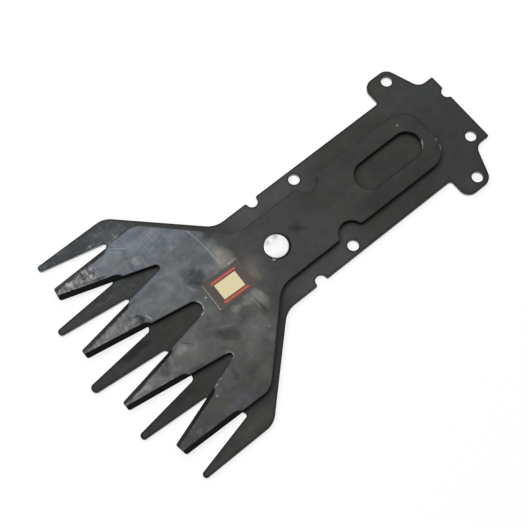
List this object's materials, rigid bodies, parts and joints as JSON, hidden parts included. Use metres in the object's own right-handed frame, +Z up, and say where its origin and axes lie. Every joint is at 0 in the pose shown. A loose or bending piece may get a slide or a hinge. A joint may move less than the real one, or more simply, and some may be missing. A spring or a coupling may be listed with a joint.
{
  "type": "grass shears blade",
  "caption": "Riveted pair of steel comb blades for grass shears: a fixed lower comb with screw ears and an upper comb with bevelled teeth and a drive slot that swings on a rivet.",
  "frame": {"origin": "on the underside of the lower blade, midway between the two rear screw holes in its ears", "axes": "+X forward from the tang to the tooth tips, +Z up from the lower blade to the upper blade, +Y to the left of the tips"},
  "size_m": [0.1776, 0.1006, 0.0046],
  "materials": {
    "lower_steel": "blackened steel, satin",
    "upper_steel": "blackened steel, worn to bare metal at the tooth tips",
    "rivet_zinc": "bright zinc plate",
    "label_film": "dark satin film"
  },
  "bodies": {
    "fixed_blade": {"lower_blade": "lower_steel", "pivot_rivet": "rivet_zinc"},
    "moving_blade": {"upper_blade": "upper_steel", "blank_label": "label_film"}
  },
  "joints": [
    {"name": "blade_swing", "type": "hinge", "parent": "fixed_blade", "child": "moving_blade", "pos_m": [0.0774, 0, 0], "axis": [0, 0, 1], "range_deg": [-8.4, 8.4]}
  ]
}
